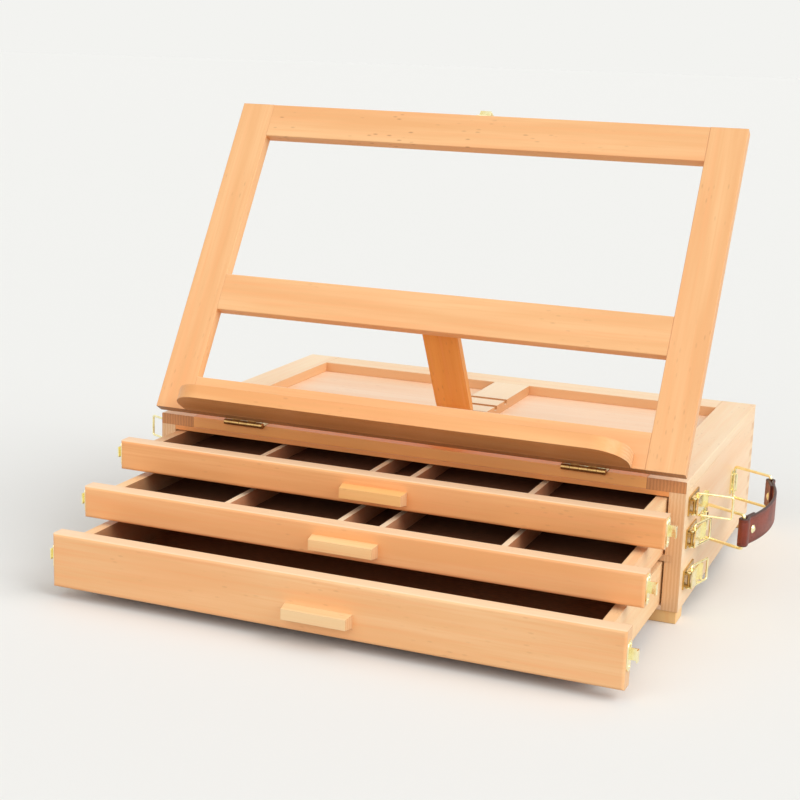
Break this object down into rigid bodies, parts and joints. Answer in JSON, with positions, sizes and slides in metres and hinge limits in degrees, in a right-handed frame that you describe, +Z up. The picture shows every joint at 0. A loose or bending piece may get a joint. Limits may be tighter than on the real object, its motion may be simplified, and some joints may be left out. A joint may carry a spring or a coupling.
{
  "type": "desk box easel",
  "caption": "Wooden desktop box easel with a folding canvas frame, ledge and prop, pull-out drawers, side latches and a leather carrying handle.",
  "frame": {"origin": "middle of the footprint of the four feet, on the table", "axes": "+X to the side with the handle, +Y to the back, +Z up"},
  "size_m": [0.4935, 0.4406, 0.3466],
  "materials": {
    "beech": "satin oiled beech",
    "plywood": "sanded plywood",
    "lining": "dark stained hardboard",
    "brass": "bright brass plate",
    "leather": "red-brown leather",
    "steel": "plain pin"
  },
  "bodies": {
    "box": {"side_panel_left": "beech", "side_panel_right": "beech", "back_panel": "beech", "bottom_panel": "plywood", "top_panel": "plywood", "top_front_rail": "beech", "top_rear_rail": "beech", "top_side_rails": "beech", "center_stile": "beech", "drawer_runners": "beech", "feet": "beech", "box_hinge_leaves": "brass", "latch_bases": "brass", "handle_brackets": "brass", "catch_plate": "brass"},
    "frame": {"frame_left_stile": "beech", "frame_right_stile": "beech", "frame_top_rail": "beech", "frame_mid_rail": "beech", "frame_bottom_rail": "beech", "frame_hinge_leaves": "brass", "ledge_fixed_leaves": "brass", "strut_pin": "steel", "catch_tongue": "brass"},
    "ledge": {"ledge": "beech", "ledge_moving_leaves": "brass"},
    "strut": {"strut": "beech"},
    "drawer_1": {"drawer_1_front": "beech", "drawer_1_walls": "beech", "drawer_1_bottom": "lining", "drawer_1_pull": "beech", "drawer_1_strikes": "brass", "drawer_1_dividers": "beech"},
    "drawer_2": {"drawer_2_front": "beech", "drawer_2_walls": "beech", "drawer_2_bottom": "lining", "drawer_2_pull": "beech", "drawer_2_strikes": "brass", "drawer_2_dividers": "beech"},
    "drawer_3": {"drawer_3_front": "beech", "drawer_3_walls": "beech", "drawer_3_bottom": "lining", "drawer_3_pull": "beech", "drawer_3_strikes": "brass"},
    "latch_lever_right_1": {"latch_lever_right_1": "brass"},
    "latch_loop_right_1": {"latch_loop_right_1": "brass"},
    "latch_lever_right_2": {"latch_lever_right_2": "brass"},
    "latch_loop_right_2": {"latch_loop_right_2": "brass"},
    "latch_lever_right_3": {"latch_lever_right_3": "brass"},
    "latch_loop_right_3": {"latch_loop_right_3": "brass"},
    "latch_lever_left_1": {"latch_lever_left_1": "brass"},
    "latch_loop_left_1": {"latch_loop_left_1": "brass"},
    "latch_lever_left_2": {"latch_lever_left_2": "brass"},
    "latch_loop_left_2": {"latch_loop_left_2": "brass"},
    "latch_lever_left_3": {"latch_lever_left_3": "brass"},
    "latch_loop_left_3": {"latch_loop_left_3": "brass"},
    "handle_front": {"handle_front_loop": "brass"},
    "handle_rear": {"handle_rear_loop": "brass"},
    "handle_grip": {"handle_strap": "leather", "handle_rivets": "brass"}
  },
  "joints": [
    {"name": "frame_fold", "type": "hinge", "parent": "box", "child": "frame", "pos_m": [0, -0.14145, 0.1055], "axis": [1, 0, 0], "range_deg": [-58.3, 0]},
    {"name": "strut_swing", "type": "hinge", "parent": "frame", "child": "strut", "pos_m": [0, -0.08797, 0.19876], "axis": [1, 0, 0], "range_deg": [-0.5, 121.46]},
    {"name": "ledge_fold", "type": "hinge", "parent": "frame", "child": "ledge", "pos_m": [0, -0.14375, 0.12308], "axis": [1, 0, 0], "range_deg": [-90, 0]},
    {"name": "drawer_1_slide", "type": "slide", "parent": "box", "child": "drawer_1", "axis": [0, -1, 0], "range_m": [-0.049, 0.146]},
    {"name": "drawer_2_slide", "type": "slide", "parent": "box", "child": "drawer_2", "axis": [0, -1, 0], "range_m": [-0.099, 0.096]},
    {"name": "drawer_3_slide", "type": "slide", "parent": "box", "child": "drawer_3", "axis": [0, -1, 0], "range_m": [-0.14, 0.055]},
    {"name": "latch_right_1_lever", "type": "hinge", "parent": "box", "child": "latch_lever_right_1", "pos_m": [0.2137, -0.125, 0.08473], "axis": [0, 0, -1], "range_deg": [0, 100]},
    {"name": "latch_right_1_loop", "type": "hinge", "parent": "latch_lever_right_1", "child": "latch_loop_right_1", "pos_m": [0.2137, -0.118, 0.08473], "axis": [0, 0, 1], "range_deg": [-90, 75]},
    {"name": "latch_right_2_lever", "type": "hinge", "parent": "box", "child": "latch_lever_right_2", "pos_m": [0.2137, -0.125, 0.06065], "axis": [0, 0, -1], "range_deg": [0, 100]},
    {"name": "latch_right_2_loop", "type": "hinge", "parent": "latch_lever_right_2", "child": "latch_loop_right_2", "pos_m": [0.2137, -0.118, 0.06065], "axis": [0, 0, 1], "range_deg": [-165, 0]},
    {"name": "latch_right_3_lever", "type": "hinge", "parent": "box", "child": "latch_lever_right_3", "pos_m": [0.2137, -0.125, 0.02992], "axis": [0, 0, -1], "range_deg": [0, 100]},
    {"name": "latch_right_3_loop", "type": "hinge", "parent": "latch_lever_right_3", "child": "latch_loop_right_3", "pos_m": [0.2137, -0.118, 0.02992], "axis": [0, 0, 1], "range_deg": [-165, 0]},
    {"name": "latch_left_1_lever", "type": "hinge", "parent": "box", "child": "latch_lever_left_1", "pos_m": [-0.2137, -0.125, 0.08473], "axis": [0, 0, 1], "range_deg": [0, 100]},
    {"name": "latch_left_1_loop", "type": "hinge", "parent": "latch_lever_left_1", "child": "latch_loop_left_1", "pos_m": [-0.2137, -0.118, 0.08473], "axis": [0, 0, -1], "range_deg": [-115, 50]},
    {"name": "latch_left_2_lever", "type": "hinge", "parent": "box", "child": "latch_lever_left_2", "pos_m": [-0.2137, -0.125, 0.06065], "axis": [0, 0, 1], "range_deg": [0, 100]},
    {"name": "latch_left_2_loop", "type": "hinge", "parent": "latch_lever_left_2", "child": "latch_loop_left_2", "pos_m": [-0.2137, -0.118, 0.06065], "axis": [0, 0, -1], "range_deg": [-165, 0]},
    {"name": "latch_left_3_lever", "type": "hinge", "parent": "box", "child": "latch_lever_left_3", "pos_m": [-0.2137, -0.125, 0.02992], "axis": [0, 0, 1], "range_deg": [0, 100]},
    {"name": "latch_left_3_loop", "type": "hinge", "parent": "latch_lever_left_3", "child": "latch_loop_left_3", "pos_m": [-0.2137, -0.118, 0.02992], "axis": [0, 0, -1], "range_deg": [-165, 0]},
    {"name": "handle_swing", "type": "hinge", "parent": "box", "child": "handle_front", "pos_m": [0.2126, -0.073, 0.06], "axis": [0, 0, 1], "range_deg": [-42, 98]},
    {"name": "handle_rear_swing", "type": "hinge", "parent": "box", "child": "handle_rear", "pos_m": [0.2126, 0.045, 0.06], "axis": [0, 0, 1], "range_deg": [-42, 98]},
    {"name": "handle_grip_swing", "type": "hinge", "parent": "handle_front", "child": "handle_grip", "pos_m": [0.2435, -0.08943, 0.06], "axis": [0, 0, 1], "range_deg": [-98, 42]}
  ],
  "couplings": [
    {"joint": "strut_swing", "follows": "frame_fold", "ratio": -2.0748},
    {"joint": "handle_rear_swing", "follows": "handle_swing", "ratio": 1},
    {"joint": "handle_grip_swing", "follows": "handle_swing", "ratio": -1}
  ]
}
